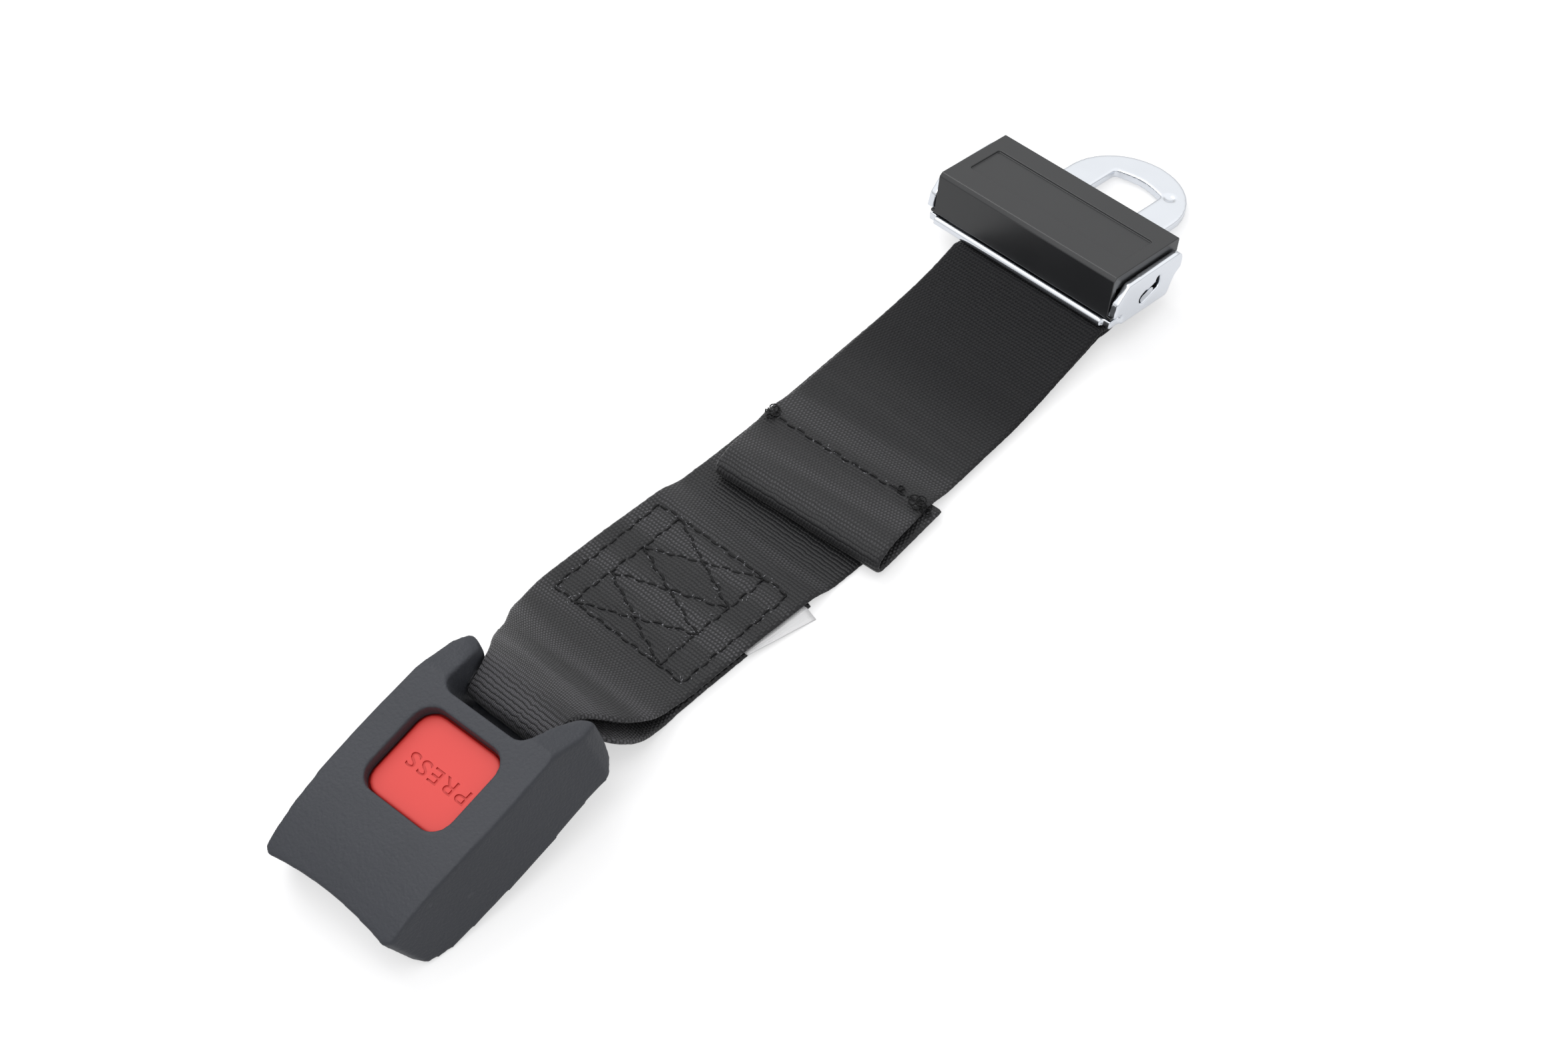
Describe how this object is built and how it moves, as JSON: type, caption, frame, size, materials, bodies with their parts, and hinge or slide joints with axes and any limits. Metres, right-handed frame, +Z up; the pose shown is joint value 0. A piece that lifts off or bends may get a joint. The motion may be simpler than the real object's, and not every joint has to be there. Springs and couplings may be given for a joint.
{
  "type": "seat belt extender",
  "caption": "Seat belt extender with a press-button buckle, one strap of folded webbing and a slide-bar adjuster with a rounded steel tongue.",
  "frame": {"origin": "Middle of the whole part's bounding box, on the surface it lies on.", "axes": "+X runs along the belt from the buckle's mouth to the tongue's tip, +Z is up from the surface, +Y is to the left when looking along +X."},
  "size_m": [0.2956, 0.0684, 0.0272],
  "materials": {
    "charcoal_housing": "grained moulding",
    "red_button": "satin moulding",
    "plated_steel": "zinc plated",
    "spring_steel": "drawn wire",
    "black_acetal": "smooth",
    "black_webbing": "ribbed polyester weave",
    "white_satin": "satin ribbon",
    "chromed_steel": "bright plating",
    "black_cover": "satin moulding"
  },
  "bodies": {
    "belt": {"buckle_upper_shell": "charcoal_housing", "buckle_lower_shell": "charcoal_housing", "buckle_frame": "plated_steel", "latch_pin": "plated_steel", "latch_spring": "spring_steel", "ejector_spring": "spring_steel", "webbing_strap": "black_webbing", "white_label": "white_satin", "tongue_frame": "chromed_steel", "adjuster_cover": "black_cover"},
    "button": {"press_button": "red_button"},
    "latch": {"latch_plate": "plated_steel"},
    "ejector_slider": {"ejector": "black_acetal"},
    "clamp_bar": {"slide_bar": "chromed_steel"}
  },
  "joints": [
    {"name": "button_press", "type": "slide", "parent": "belt", "child": "button", "axis": [0.235, 0.0086, -0.972], "range_m": [0, 0.0021], "stiffness_N_per_m": 800, "springref_m": -0.002},
    {"name": "latch_turn", "type": "hinge", "parent": "belt", "child": "latch", "pos_m": [-0.10229, -0.01213, 0.01269], "axis": [0.0366, -0.9993, 0], "range_deg": [0, 8], "stiffness_Nm_per_rad": 0.07, "springref_deg": -11.46, "deforming": ["latch_spring"]},
    {"name": "ejector_slide", "type": "slide", "parent": "belt", "child": "ejector_slider", "axis": [0.9713, 0.0356, 0.2351], "range_m": [0, 0.005], "stiffness_N_per_m": 250, "springref_m": -0.004, "deforming": ["ejector_spring"]},
    {"name": "bar_slide", "type": "slide", "parent": "belt", "child": "clamp_bar", "axis": [0.9719, -0.0085, 0.2351], "range_m": [0, 0.002]}
  ],
  "couplings": [
    {"joint": "latch_turn", "follows": "button_press", "rad_per_m": 64.3}
  ]
}
